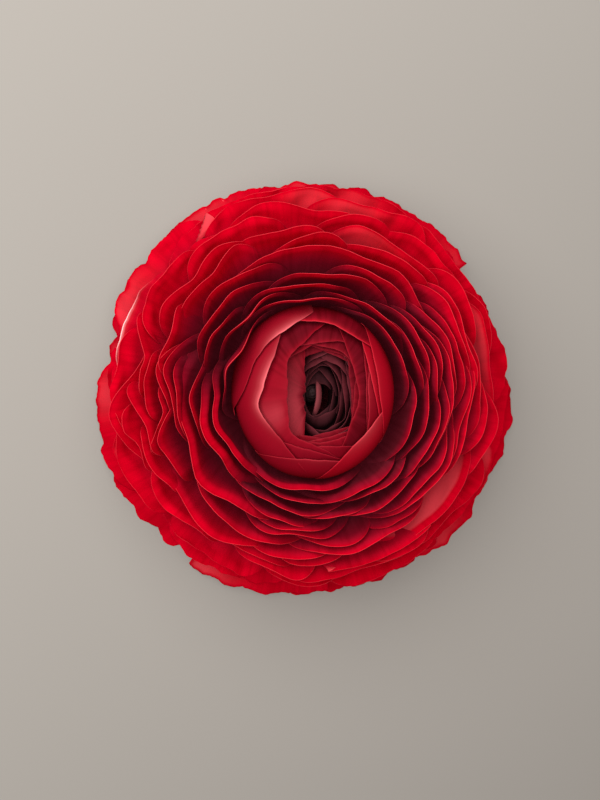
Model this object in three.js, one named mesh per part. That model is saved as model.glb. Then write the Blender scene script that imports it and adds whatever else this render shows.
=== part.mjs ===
// A double Persian buttercup (Ranunculus asiaticus), cut just under its calyx and lying face up on
// a flat surface. Each petal is a thin cupped sheet that grows from its own place on a conical
// receptacle. Rings of open petals surround a bud of incurved petals, which closes over a head of
// carpels. The outermost ring, the guard petals, arches over five sepals and droops down to the
// surface.
//
// Millimetres, +Z up. The origin is the centre of the surface under the flower, at z = 0.
//
// Every petal is a patch of a "shell": a bowl-shaped surface of revolution. The shells are nested
// one inside the next and never cross, so the petals that lie on them never cross either. A
// shell's level is 0 at the guard petals and rises inwards.

import * as THREE from "three";

// ---------- driving dimensions ----------

const PETAL_THICKNESS = 0.3;
const SEPAL_THICKNESS = 0.7;
const SEAT_GAP = 0.3; // from the receptacle's skin to the foot of a petal
const CLAW_HALF_WIDTH = 1.15; // of a petal's narrow foot

const STEM_RADIUS = 2.7;
const STEM_HEIGHT = 2.9; // of the straight stub left under the calyx
const NECK_RADIUS = 3.5;
const NECK_Z = 4.9; // where the sepals join
const NECK_HALF_HEIGHT = 0.5;
const RECEPTACLE_LOW = { radius: 5.0, z: 6.2 };
const RECEPTACLE_HIGH = { radius: 2.4, z: 21.2 };
const RECEPTACLE_TIP = { radius: 1.7, z: 21.8 };
const RECEPTACLE_TOP_Z = 22;

// The head leans a little: the middle of anything is moved this far for each millimetre that it
// lies above LEAN_FROM_Z.
const LEAN = new THREE.Vector2(0.083, -0.056);
const LEAN_FROM_Z = 8;
// The bud is a little longer one way than the other; the rings round it are as wide as long.
const BUD_STRETCH = new THREE.Vector2(1.0, 1.08);
const RING_STRETCH = new THREE.Vector2(1.0, 1.0);
// The foot of the axis, placed so that the whole head is centred over the origin.
const AXIS_AT = new THREE.Vector2(0.0, 0.78);

// ---------- the shells ----------

const receptacleRadius = (z) =>
  THREE.MathUtils.mapLinear(
    z, RECEPTACLE_LOW.z, RECEPTACLE_HIGH.z, RECEPTACLE_LOW.radius, RECEPTACLE_HIGH.radius,
  );

// A shell's profile is a curve in (radius, z). It starts at its foot on the receptacle and is
// drawn to its rim by four more points, the last of which is the rim. Row 0 is the outermost.
const OPEN_PROFILES = [
  { footZ: 7.0, points: [[14, 7.6], [25, 10.8], [33.8, 7.0], [40.4, -0.4]] },
  { footZ: 8.1, points: [[14.6, 8.8], [26.5, 13.2], [35.6, 10.6], [38.8, 13.6]] },
  { footZ: 9.2, points: [[14.6, 10.0], [26, 14.2], [33.6, 15.2], [36.8, 20.6]] },
  { footZ: 10.3, points: [[14.2, 11.2], [25, 14.8], [31.0, 20.0], [33.8, 26.4]] },
  { footZ: 11.4, points: [[13.4, 12.2], [23.4, 15.2], [28.4, 22.6], [30.4, 30.8]] },
  { footZ: 12.5, points: [[12.6, 13.2], [21.8, 15.6], [25.6, 24.2], [26.8, 34.0]] },
  { footZ: 13.6, points: [[11.8, 14.2], [20.2, 16.2], [23.0, 25.4], [23.2, 36.2]] },
  { footZ: 14.7, points: [[10.8, 15.2], [18.6, 16.8], [20.4, 26.4], [19.8, 37.6]] },
  { footZ: 15.8, points: [[9.8, 16.2], [17.2, 17.6], [18.0, 27.2], [16.6, 38.2]] },
];
// Bud shells close over the top and end on the axis.
const BUD_PROFILES = [
  { footZ: 16.9, points: [[9.6, 16.8], [19.4, 19.0], [20.6, 41.2], [0, 40.6]] },
  { footZ: 18.0, points: [[8.7, 17.9], [17.7, 20.1], [19.0, 40.0], [0, 39.4]] },
  { footZ: 19.1, points: [[7.8, 19.0], [16.0, 21.2], [17.4, 38.8], [0, 38.2]] },
  { footZ: 20.2, points: [[6.9, 20.1], [14.3, 22.3], [15.8, 37.6], [0, 37.0]] },
];

// The share that each of a profile's five points has in the curve's point at s, from 0 to 1.
const curveWeights = (s) => {
  const r = 1 - s;
  return [r ** 4, 4 * r ** 3 * s, 6 * r * r * s * s, 4 * r * s ** 3, s ** 4];
};

// Where a profile between two rows is, at share s of its curve. Level 2.5 is half way between
// rows 2 and 3, and each of its points is half way between theirs.
function profilePoint(profiles, level, s) {
  const low = Math.min(Math.max(Math.floor(level), 0), profiles.length - 2);
  const [outer, inner] = [profiles[low], profiles[low + 1]].map(({ footZ, points }) => [
    [receptacleRadius(footZ) + SEAT_GAP, footZ],
    ...points,
  ]);
  let [radius, z] = [0, 0];
  curveWeights(s).forEach((weight, k) => {
    radius += weight * THREE.MathUtils.lerp(outer[k][0], inner[k][0], level - low);
    z += weight * THREE.MathUtils.lerp(outer[k][1], inner[k][1], level - low);
  });
  return [radius, z];
}

// Where the head's axis is at a height, once the head leans and is centred over the origin.
const axisAtHeight = (z) => LEAN.clone().multiplyScalar(Math.max(z - LEAN_FROM_Z, 0)).add(AXIS_AT);

// A point of a shell in the part's frame.
function placed(radius, angle, z, stretch) {
  const axis = axisAtHeight(z);
  const x = axis.x + radius * Math.cos(angle) * stretch.x;
  const y = axis.y + radius * Math.sin(angle) * stretch.y;
  return new THREE.Vector3(x, y, z);
}

// ---------- sheets ----------

// How finely a sheet is divided, across and along it.
const SEPAL_CELLS = { across: 4, along: 6 };
const OPEN_PETAL_CELLS_ALONG = 7;
const BUD_PETAL_CELLS_ALONG = 12;
const DEGREES_PER_CELL = 12; // across a petal
const petalCells = (halfAngle, along) => ({ across: 2 * Math.ceil(halfAngle / DEGREES_PER_CELL), along });
const STEP = 1e-3; // of u and v, over which a sheet's slope is taken

// A closed thin solid around the surface at(u, v), with u from -1 to 1 and v from 0 to 1.
function sheet(at, { across, along }, thickness) {
  const columns = across + 1;
  const sheetSize = columns * (along + 1);
  const positions = new Float32Array(2 * sheetSize * 3);
  for (let j = 0; j <= along; j++) {
    for (let i = 0; i <= across; i++) {
      const u = (2 * i) / across - 1;
      const v = j / along;
      const du = at(Math.min(u + STEP, 1), v).sub(at(Math.max(u - STEP, -1), v));
      const dv = at(u, Math.min(v + STEP, 1)).sub(at(u, Math.max(v - STEP, 0)));
      const normal = du.cross(dv).normalize();
      const middle = at(u, v);
      const k = j * columns + i;
      middle.clone().addScaledVector(normal, thickness / 2).toArray(positions, 3 * k);
      middle.addScaledVector(normal, -thickness / 2).toArray(positions, 3 * (sheetSize + k));
    }
  }
  const index = [];
  const quad = (a, b, c, d) => index.push(a, b, c, a, c, d);
  for (let j = 0; j < along; j++) {
    for (let i = 0; i < across; i++) {
      const k = j * columns + i;
      quad(k, k + 1, k + columns + 1, k + columns);
      const m = sheetSize + k;
      quad(m, m + columns, m + columns + 1, m + 1);
    }
  }
  // The rim: the edge of the sheet all the way round, from its front face to its back face.
  const edge = [];
  for (let i = 0; i < across; i++) edge.push(i);
  for (let j = 0; j < along; j++) edge.push(j * columns + across);
  for (let i = across; i > 0; i--) edge.push(along * columns + i);
  for (let j = along; j > 0; j--) edge.push(j * columns);
  edge.forEach((a, n) => {
    const b = edge[(n + 1) % edge.length];
    quad(a, sheetSize + a, sheetSize + b, b);
  });
  const geometry = new THREE.BufferGeometry();
  geometry.setAttribute("position", new THREE.BufferAttribute(positions, 3));
  geometry.setIndex(index);
  geometry.computeVertexNormals();
  return geometry;
}

// ---------- petals ----------

const CLAW_END = 0.5; // share of a petal's length over which its foot widens into the blade

// The surface of one petal. Azimuth and halfAngle are in degrees, and rimShare gives how far along
// the profile the petal's rim lies, for u from -1 at one side to 1 at the other.
function petalSurface({ profiles, level, azimuth, halfAngle, rimShare, stretch }) {
  return (u, v) => {
    const [radius, z] = profilePoint(profiles, level, v * rimShare(u));
    const blade = THREE.MathUtils.degToRad(halfAngle);
    const claw = Math.min(CLAW_HALF_WIDTH / radius, blade);
    const halfWidth = THREE.MathUtils.lerp(claw, blade, THREE.MathUtils.smoothstep(v, 0, CLAW_END));
    const angle = THREE.MathUtils.degToRad(azimuth) + u * halfWidth;
    return placed(radius, angle, Math.max(z, PETAL_THICKNESS / 2), stretch);
  };
}

// The open petals, ring by ring from the outside in. A petal's row holds the level of its shell,
// its azimuth anticlockwise from +X, and half the angle that it covers. Petals that overlap are
// about half a level apart, or more, so that they stay clear of each other down to the foot. The
// corners of a ring's petals drop back from the rim by a share of the profile; the higher the
// power, the squarer the petal.
const OPEN_RINGS = {
  guard_petal: {
    cornerDrop: 0.22,
    cornerPower: 4,
    petals: [
      [0.0, 12, 25.5], [0.0, 64, 25.5], [0.0, 116, 25.5], [0.0, 168, 25.5], [0.0, 219, 25],
      [0.0, 270, 25], [0.0, 321, 25], [0.6, 38, 24], [0.6, 142, 24], [0.6, 245, 24], [0.6, 347, 24],
    ],
  },
  spreading_petal: {
    cornerDrop: 0.28,
    cornerPower: 3,
    petals: [
      [1.5, 100, 24], [1.5, 200, 24], [1.5, 296, 24], [2.5, 12, 26], [2.5, 95, 26], [2.5, 185, 28],
      [2.5, 285, 26], [3.0, 318, 28], [3.5, 60, 26], [3.5, 135, 28], [3.5, 232, 28],
    ],
  },
  cupped_petal: {
    cornerDrop: 0.45,
    cornerPower: 2.3,
    petals: [
      [3.95, 20, 30], [4.0, 290, 34], [4.45, 240, 36], [4.45, 350, 36], [4.9, 80, 66],
      [4.95, 180, 33], [5.4, 2, 42], [5.45, 215, 64], [5.85, 137, 36], [5.9, 303, 42], [6.37, 80, 42],
    ],
  },
  collar_petal: {
    cornerDrop: 0.5,
    cornerPower: 2.3,
    petals: [
      [6.4, 256, 45], [6.75, 350, 48], [6.85, 97, 40], [6.9, 205, 45], [7.33, 55, 45], [7.3, 292, 42],
    ],
  },
};

function openPetal([level, azimuth, halfAngle], { cornerDrop, cornerPower }) {
  const rimShare = (u) => 1 - cornerDrop * Math.abs(u) ** cornerPower;
  return { profiles: OPEN_PROFILES, level, azimuth, halfAngle, rimShare, stretch: RING_STRETCH };
}

// The bud petals. Seen from above, a bud petal's rim is made of nearly straight lines: each is given
// as the azimuth in which it faces away from the axis, and how far from the axis it passes.
const BUD_PETALS = [
  { level: 0.0, azimuth: 9, halfAngle: 44, lines: [[9, 11.7]] },
  { level: 0.0, azimuth: 135, halfAngle: 50, lines: [[135, 13.8]] },
  { level: 0.6, azimuth: 76, halfAngle: 44, lines: [[88, 14.3], [57, 13.6]] },
  { level: 0.6, azimuth: 318, halfAngle: 44, lines: [[318, 11.5]] },
  { level: 1.2, azimuth: 262, halfAngle: 48, lines: [[267, 12.1]] },
  { level: 1.2, azimuth: 13, halfAngle: 40, lines: [[13, 10.7]] },
  { level: 1.8, azimuth: 187, halfAngle: 78, lines: [[160, 9.9], [219, 10.4]] },
  { level: 1.8, azimuth: 0, halfAngle: 50, lines: [[0, 9.7]] },
  { level: 2.4, azimuth: 183, halfAngle: 84, lines: [[129, 9.0], [181, 5.4], [242, 8.5]] },
  { level: 2.4, azimuth: 358, halfAngle: 56, lines: [[17, 8.0], [340, 7.9]] },
  { level: 3.0, azimuth: 68, halfAngle: 52, lines: [[99, 9.4], [44, 11.0]] },
  { level: 3.0, azimuth: 266, halfAngle: 46, lines: [[253, 9.8], [270, 9.6]] },
  { level: 3.6, azimuth: 30, halfAngle: 72, lines: [[74, 8.4], [4, 6.6]] },
  { level: 3.6, azimuth: 180, halfAngle: 70, lines: [[180, 1.9]] },
];

const BUD_WAIST = 0.6; // share of a bud profile above which every rim lies

// The share of a bud profile, beyond its widest place, at which it is this far from the axis.
function shareAtRadius(level, radius) {
  let [low, high] = [BUD_WAIST, 1];
  for (let i = 0; i < 20; i++) {
    const middle = (low + high) / 2;
    if (profilePoint(BUD_PROFILES, level, middle)[0] > radius) low = middle;
    else high = middle;
  }
  return low;
}

// How far out the nearest of the rim's lines is, in a direction from the axis.
function rimRadius(lines, direction) {
  const distances = lines.map(([facing, distance]) => {
    const cosine = Math.cos(THREE.MathUtils.degToRad(direction - facing));
    return cosine > 0 ? distance / cosine : Infinity;
  });
  return Math.min(...distances);
}

function budPetal({ level, azimuth, halfAngle, lines }) {
  const rimShare = (u) => shareAtRadius(level, rimRadius(lines, azimuth + u * halfAngle));
  return { profiles: BUD_PROFILES, level, azimuth, halfAngle, rimShare, stretch: BUD_STRETCH };
}

// ---------- sepals, stem and carpels ----------

const SEPAL_COUNT = 5;
const SEPAL_FIRST_AZIMUTH = 20;
const SEPAL_BASE_HALF_WIDTH = 1.7;
const SEPAL_TIP_HALF_WIDTH = 0.5;
const SEPAL_BULGE = 2.7; // how much wider it is in the middle
const SEPAL_TROUGH = 0.5; // how far its edges stand above its middle
const SEPAL_PROFILE = new THREE.CubicBezierCurve(
  new THREE.Vector2(NECK_RADIUS + SEAT_GAP, NECK_Z),
  new THREE.Vector2(9, 7.0),
  new THREE.Vector2(14, 5.6),
  new THREE.Vector2(17, 1.6),
);

// A sepal is a pointed boat-shaped leaf that bends down under the guard petals.
function sepalSurface(azimuth) {
  return (u, v) => {
    const { x: radius, y: z } = SEPAL_PROFILE.getPoint(v);
    const widening = Math.sin(Math.PI * v ** 0.8);
    const plain = THREE.MathUtils.lerp(SEPAL_BASE_HALF_WIDTH, SEPAL_TIP_HALF_WIDTH, v);
    const halfWidth = plain + widening * SEPAL_BULGE;
    return new THREE.Vector3(radius, u * halfWidth, z + SEPAL_TROUGH * u * u * widening)
      .applyAxisAngle(new THREE.Vector3(0, 0, 1), THREE.MathUtils.degToRad(azimuth))
      .add(new THREE.Vector3(AXIS_AT.x, AXIS_AT.y, 0));
  };
}

// A closed solid turned about the head's leaning axis, from a profile of (radius, z) points that
// starts and ends on it.
function turned(points, segments) {
  const geometry = new THREE.LatheGeometry(points.map(([r, z]) => new THREE.Vector2(r, z)), segments);
  geometry.rotateX(Math.PI / 2); // a lathe turns about Y
  const position = geometry.getAttribute("position");
  for (let i = 0; i < position.count; i++) {
    const axis = axisAtHeight(position.getZ(i));
    position.setXY(i, position.getX(i) + axis.x, position.getY(i) + axis.y);
  }
  geometry.computeVertexNormals();
  return geometry;
}

const STEM_SIDES = 24;
const CARPEL_SIDES = 16;

// The stem's stub, the neck that carries the sepals, and the cone that carries the petals.
const STEM_OUTLINE = [
  [0, 0],
  [STEM_RADIUS, 0],
  [STEM_RADIUS, STEM_HEIGHT],
  [NECK_RADIUS, NECK_Z - NECK_HALF_HEIGHT],
  [NECK_RADIUS, NECK_Z + NECK_HALF_HEIGHT],
  [RECEPTACLE_LOW.radius, RECEPTACLE_LOW.z],
  [receptacleRadius(LEAN_FROM_Z), LEAN_FROM_Z],
  [RECEPTACLE_HIGH.radius, RECEPTACLE_HIGH.z],
  [RECEPTACLE_TIP.radius, RECEPTACLE_TIP.z],
  [0, RECEPTACLE_TOP_Z],
];

// The head of carpels at the middle of the flower, an upright egg on the receptacle's top.
const CARPEL_RADIUS = 2.1;
const CARPEL_HEIGHT = 6;
const CARPEL_TAPER = 0.25; // how much fatter it is near the foot than near the tip
const CARPEL_FOOT_Z = RECEPTACLE_TOP_Z + SEAT_GAP;
const CARPEL_RINGS = 8;
const CARPEL_OUTLINE = Array.from({ length: CARPEL_RINGS + 1 }, (_, i) => {
  const turn = (Math.PI * i) / CARPEL_RINGS;
  const onAxis = i % CARPEL_RINGS === 0;
  const radius = onAxis ? 0 : CARPEL_RADIUS * Math.sin(turn) * (1 + CARPEL_TAPER * Math.cos(turn));
  return [radius, CARPEL_FOOT_Z + (CARPEL_HEIGHT * (1 - Math.cos(turn))) / 2];
});

// ---------- assembly ----------

const material = (color, roughness) => new THREE.MeshStandardMaterial({ color, roughness, metalness: 0 });
const PETAL_RED = material(0xc40a22, 0.6);
const BUD_RED = material(0x9b1726, 0.65);
const LEAF_GREEN = material(0x6f8a3c, 0.7);
const STEM_GREEN = material(0x87a052, 0.6);
const CARPEL_DARK = material(0x2a1218, 0.8);

const flower = new THREE.Group();
flower.name = "persian_buttercup";

function addPiece(name, geometry, pieceMaterial) {
  const mesh = new THREE.Mesh(geometry, pieceMaterial);
  mesh.name = name;
  flower.add(mesh);
}

function addPetal(name, petal, cellsAlong, pieceMaterial) {
  const cells = petalCells(petal.halfAngle, cellsAlong);
  addPiece(name, sheet(petalSurface(petal), cells, PETAL_THICKNESS), pieceMaterial);
}

// Copies are numbered from 01.
const numbered = (word, index) => `${word}_${String(index + 1).padStart(2, "0")}`;

addPiece("stem_and_receptacle", turned(STEM_OUTLINE, STEM_SIDES), STEM_GREEN);
addPiece("carpel_head", turned(CARPEL_OUTLINE, CARPEL_SIDES), CARPEL_DARK);
for (let i = 0; i < SEPAL_COUNT; i++) {
  const azimuth = SEPAL_FIRST_AZIMUTH + (i * 360) / SEPAL_COUNT;
  addPiece(numbered("sepal", i), sheet(sepalSurface(azimuth), SEPAL_CELLS, SEPAL_THICKNESS), LEAF_GREEN);
}
for (const [ringName, ring] of Object.entries(OPEN_RINGS)) {
  ring.petals.forEach((row, i) => {
    addPetal(numbered(ringName, i), openPetal(row, ring), OPEN_PETAL_CELLS_ALONG, PETAL_RED);
  });
}
BUD_PETALS.forEach((row, i) => {
  addPetal(numbered("bud_petal", i), budPetal(row), BUD_PETAL_CELLS_ALONG, BUD_RED);
});

export default flower;
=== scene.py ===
# %% [markdown]
# # A double Persian buttercup, petal by petal
#
# A fully open Persian buttercup (*Ranunculus asiaticus*) is well over a hundred thin petals packed
# round a cone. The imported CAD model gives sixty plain, stiff pieces at their true places. This
# lesson grows the real surface around them: ruffled rims, veins, a satin bud that closes over a
# dark eye, and downy sepals beneath.
#
# The flower was cut just under its calyx and lies face up, so the camera looks straight down.

# %% Load the frame
import math

import bpy
import numpy as np
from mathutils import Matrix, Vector


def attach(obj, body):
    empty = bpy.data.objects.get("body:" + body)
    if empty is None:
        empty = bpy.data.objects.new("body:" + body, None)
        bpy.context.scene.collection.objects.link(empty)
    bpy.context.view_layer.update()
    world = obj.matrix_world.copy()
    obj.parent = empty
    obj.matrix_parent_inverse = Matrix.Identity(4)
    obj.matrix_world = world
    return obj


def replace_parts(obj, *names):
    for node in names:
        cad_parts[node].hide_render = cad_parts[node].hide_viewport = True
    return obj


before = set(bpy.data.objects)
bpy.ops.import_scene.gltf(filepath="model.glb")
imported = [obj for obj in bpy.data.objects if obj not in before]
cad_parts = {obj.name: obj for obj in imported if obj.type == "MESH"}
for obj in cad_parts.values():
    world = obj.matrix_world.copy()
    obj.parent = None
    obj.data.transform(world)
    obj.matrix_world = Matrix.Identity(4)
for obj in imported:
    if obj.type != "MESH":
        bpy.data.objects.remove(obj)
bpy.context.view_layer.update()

# %% [markdown]
# ## Units and colour
# Flowers are measured in millimetres and Blender works in metres, so one constant turns one into
# the other. Colours are given as sRGB hex values, as on a colour card, and one function turns
# them into the linear numbers that light is reckoned in.

# %% Units and colour
MM = 0.001


def linear(hex_colour):
    """An sRGB hex colour, such as "#d8001c", as linear RGBA."""
    channels = [int(hex_colour[i:i + 2], 16) / 255 for i in (1, 3, 5)]
    turned = [c / 12.92 if c <= 0.04045 else ((c + 0.055) / 1.055) ** 2.4 for c in channels]
    return (*turned, 1.0)


# %% [markdown]
# ## Camera first
# The view is from straight above through a long lens, so that near and far petals keep their
# true proportions. The frame is 115 mm wide at the flower.

# %% Camera
FRAME_LONG_SIDE = 153.6 * MM  # what the frame's long side covers at the flower's middle height
SENSOR_LONG_SIDE = 36.0
LENS = 150.0
VIEW_HEIGHT = 20 * MM
VIEW_CENTRE = (-0.67 * MM, -1.8 * MM)

scene = bpy.context.scene
camera_data = bpy.data.cameras.new("camera")
camera_data.lens = LENS
camera_data.sensor_width = SENSOR_LONG_SIDE
camera = bpy.data.objects.new("camera", camera_data)
scene.collection.objects.link(camera)
distance = FRAME_LONG_SIDE * LENS / SENSOR_LONG_SIDE
camera.location = (*VIEW_CENTRE, VIEW_HEIGHT + distance)
scene.camera = camera
print("camera is", round(distance, 3), "m above the petals")

# %% [markdown]
# ## The nested shells
# A petal could be modelled alone and then pushed about until it clears its neighbours, but with so
# many petals that never ends. Instead every petal is cut from a *shell*, a bowl turned about
# the flower's axis. The shells nest without crossing, so the petals do too. A shell is named by
# its level: 0 for the drooping guard petals, 8 for the tight collar round the bud. The numbers
# are the CAD model's own, so each fine petal lies where its solid does.

# %% Shell profiles
RECEPTACLE_LOW = (5.0, 6.2)  # radius and height, mm
RECEPTACLE_HIGH = (2.4, 21.2)
SEAT_GAP = 0.3
LEAN = np.array([0.083, -0.056])  # the head leans this far for each millimetre of height
LEAN_FROM_Z = 8
AXIS_AT = np.array([0.0, 0.78])
BUD_STRETCH = (1.0, 1.08)


def receptacle_radius(z):
    heights, radii = zip(RECEPTACLE_LOW[::-1], RECEPTACLE_HIGH[::-1])
    return np.interp(z, heights, radii)


def shell(foot_z, *points):
    return [(receptacle_radius(foot_z) + SEAT_GAP, foot_z), *points]


OPEN_SHELLS = np.array([
    shell(7.0, (14, 7.6), (25, 10.8), (33.8, 7.0), (40.4, -0.4)),
    shell(8.1, (14.6, 8.8), (26.5, 13.2), (35.6, 10.6), (38.8, 13.6)),
    shell(9.2, (14.6, 10.0), (26, 14.2), (33.6, 15.2), (36.8, 20.6)),
    shell(10.3, (14.2, 11.2), (25, 14.8), (31.0, 20.0), (33.8, 26.4)),
    shell(11.4, (13.4, 12.2), (23.4, 15.2), (28.4, 22.6), (30.4, 30.8)),
    shell(12.5, (12.6, 13.2), (21.8, 15.6), (25.6, 24.2), (26.8, 34.0)),
    shell(13.6, (11.8, 14.2), (20.2, 16.2), (23.0, 25.4), (23.2, 36.2)),
    shell(14.7, (10.8, 15.2), (18.6, 16.8), (20.4, 26.4), (19.8, 37.6)),
    shell(15.8, (9.8, 16.2), (17.2, 17.6), (18.0, 27.2), (16.6, 38.2)),
])
BUD_SHELLS = np.array([
    shell(16.9, (9.6, 16.8), (19.4, 19.0), (20.6, 41.2), (0, 40.6)),
    shell(18.0, (8.7, 17.9), (17.7, 20.1), (19.0, 40.0), (0, 38.6)),
    shell(19.1, (7.8, 19.0), (16.0, 21.2), (18.0, 39.5), (0, 35.4)),
    shell(20.2, (6.9, 20.1), (14.3, 22.3), (16.8, 39.0), (0, 31.5)),
])


def shell_point(shells, level, s):
    """Radius and height of a shell at each level and share s of its profile, as arrays."""
    low = np.clip(np.floor(level).astype(int), 0, len(shells) - 2)
    part = (level - low)[..., None, None]
    points = shells[low] * (1 - part) + shells[low + 1] * part
    r = 1 - s
    weights = np.stack([r**4, 4 * r**3 * s, 6 * r * r * s * s, 4 * r * s**3, s**4], -1)
    both = (weights[..., None] * points).sum(-2)
    return both[..., 0], both[..., 1]


def rim_spacing(shells, level):
    """How far apart the rims of two shells a level apart are, in mm."""
    near_rim = np.array(0.97)
    (low, low_z), (high, high_z) = [shell_point(shells, np.array(at), near_rim) for at in (level, level + 1)]
    return float(np.hypot(high - low, high_z - low_z))


def placed(radius, angle, z, stretch):
    """Points of a shell in the flower's frame, leaning and centred."""
    lean = np.maximum(z - LEAN_FROM_Z, 0)
    x = radius * np.cos(angle) * stretch[0] + LEAN[0] * lean + AXIS_AT[0]
    y = radius * np.sin(angle) * stretch[1] + LEAN[1] * lean + AXIS_AT[1]
    return np.stack([x, y, z], -1)


# %% [markdown]
# ## How deep a point lies
# The colour of a petal is painted as light and shade: brightest near the flower's outer surface,
# deepening to black-red down in the folds, where shade falls. So each point needs to know how far
# it lies under the flower's outer surface. That surface, the canopy, runs through the rims of all
# the shells, and over the bud it is the bud's outermost shell.

# %% Depth under the canopy
CANOPY_SAMPLES = 160
rims = OPEN_SHELLS[:, -1]
reach_along = np.linspace(0, len(rims) - 1, CANOPY_SAMPLES)
open_canopy = np.stack([np.interp(reach_along, range(len(rims)), rims[:, k]) for k in (0, 1)], -1)
dome_share = np.linspace(0.66, 1, CANOPY_SAMPLES)
bud_canopy = np.stack(shell_point(BUD_SHELLS, np.zeros(CANOPY_SAMPLES), dome_share), -1)


def depth_under(canopy, radius, z):
    """How far each point is from the nearest point of a canopy, in mm."""
    gap = np.hypot(radius[..., None] - canopy[:, 0], z[..., None] - canopy[:, 1])
    return gap.min(-1)


print("the canopy spans", np.ptp(open_canopy[:, 1]).round(1), "mm in height")

# %% [markdown]
# ## Ruffles that nest
# Petals that grow pressed together share their ruffles: where one bulges, the next one bulges
# too. So the ruffle is one field over the whole flower, in azimuth and level, and every petal
# reads it. Because it changes slowly from level to level, neighbours never meet. Its waves are
# bent rather than round, since thin tissue folds in creases, and they are strongest on one side
# of this bloom. On top, each petal gets small waves of its own, and a margin of shallow lobes
# nibbled into fine teeth.

# %% Ruffles
RUFFLE_WAVES = ((5, 1.3, 0.5, 0.3), (9, -1.7, 0.7, 1.9), (13, 2.1, 0.6, 4.0))
CREASED_SIDE = math.radians(186)
CREASED_FOCUS = 3.0  # higher keeps the creases closer to that side
CREASE_SHARPNESS = 0.85  # 0 is a sine, 1 a zigzag


def creased_share(angle):
    """How strongly creased the petals at an angle are: 1 at the middle of the creased side."""
    return np.exp(CREASED_FOCUS * (np.cos(angle - CREASED_SIDE) - 1))


def bent(x):
    """A wave like a sine with pointed crests."""
    return np.arcsin(CREASE_SHARPNESS * np.sin(x)) / math.asin(CREASE_SHARPNESS)


def shared_ruffle(angle, level):
    """How far the field moves a rim, from -1 to 1 or so."""
    total = 0
    for count, drift, size, phase in RUFFLE_WAVES:
        total = total + size * bent(count * angle + drift * level + phase)
    return total * (0.55 + 0.75 * creased_share(angle))


def wavy(u, random, turns, octaves=3):
    """A smooth wave along u made of a few sines with random phases, from -1 to 1 or so."""
    total = 0
    for octave in range(octaves):
        count = turns * 1.9**octave * random.uniform(0.85, 1.15)
        total = total + np.sin(math.pi * count * u + random.uniform(0, 2 * math.pi)) / 1.7**octave
    return total / 1.6


def crumpled(x, y, random):
    """Shallow dents a few millimetres across, as in thin tissue that was packed, from -1 to 1 or so."""
    total = 0
    for _ in range(6):
        heading, phase = random.uniform(0, math.pi), random.uniform(0, 2 * math.pi)
        turn = 2 * math.pi / random.uniform(4.5, 9.0)
        total = total + np.sin(turn * (x * math.cos(heading) + y * math.sin(heading)) + phase)
    return total / 2.5


def lobed(u, random, lobes):
    """The outline of shallow round lobes with sharp notches between them, from -1 to 0."""
    drift = 0.25 * np.sin(math.pi * u * 1.3 + random.uniform(0, 2 * math.pi))
    return np.abs(np.sin(math.pi / 2 * lobes * (u + drift) + random.uniform(0, math.pi))) ** 0.7 - 1


# %% [markdown]
# ## One petal
# A petal is a grid of points, `u` across and `v` from foot to rim. The foot is a narrow claw and
# widens into the blade. `rim_share` says how far along the profile the rim lies, so it gives the
# petal's outline. The margin rolls outward a little, which gives the thin bright lip that real
# petals show, and a tilt tucks one side under the next petal.

# %% Petal surface
CLAW_HALF_WIDTH = 1.15  # mm
CLAW_END = 0.5  # share of the petal's length
PROFILE_LENGTH = 36.0  # of a typical shell, mm
REST_HEIGHT = 0.12  # of the lowest points above the floor, mm
LOBE_LENGTH, TEETH_LENGTH = 11.0, 7.0  # along the rim, mm
WAVE_LENGTH, FRILL_LENGTH = 22.0, 9.0
FRILL_DEPTH = 3.0  # mm from the rim over which frills die away
LIP_WIDTH = 1.4  # mm from the margin over which a petal's lift and its painted shade fade in
FOLD_RISE = 0.8  # mm by which a folded corner stands over its petal


def smoothstep(x, start, end):
    t = np.clip((x - start) / (end - start), 0, 1)
    return t * t * (3 - 2 * t)


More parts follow.
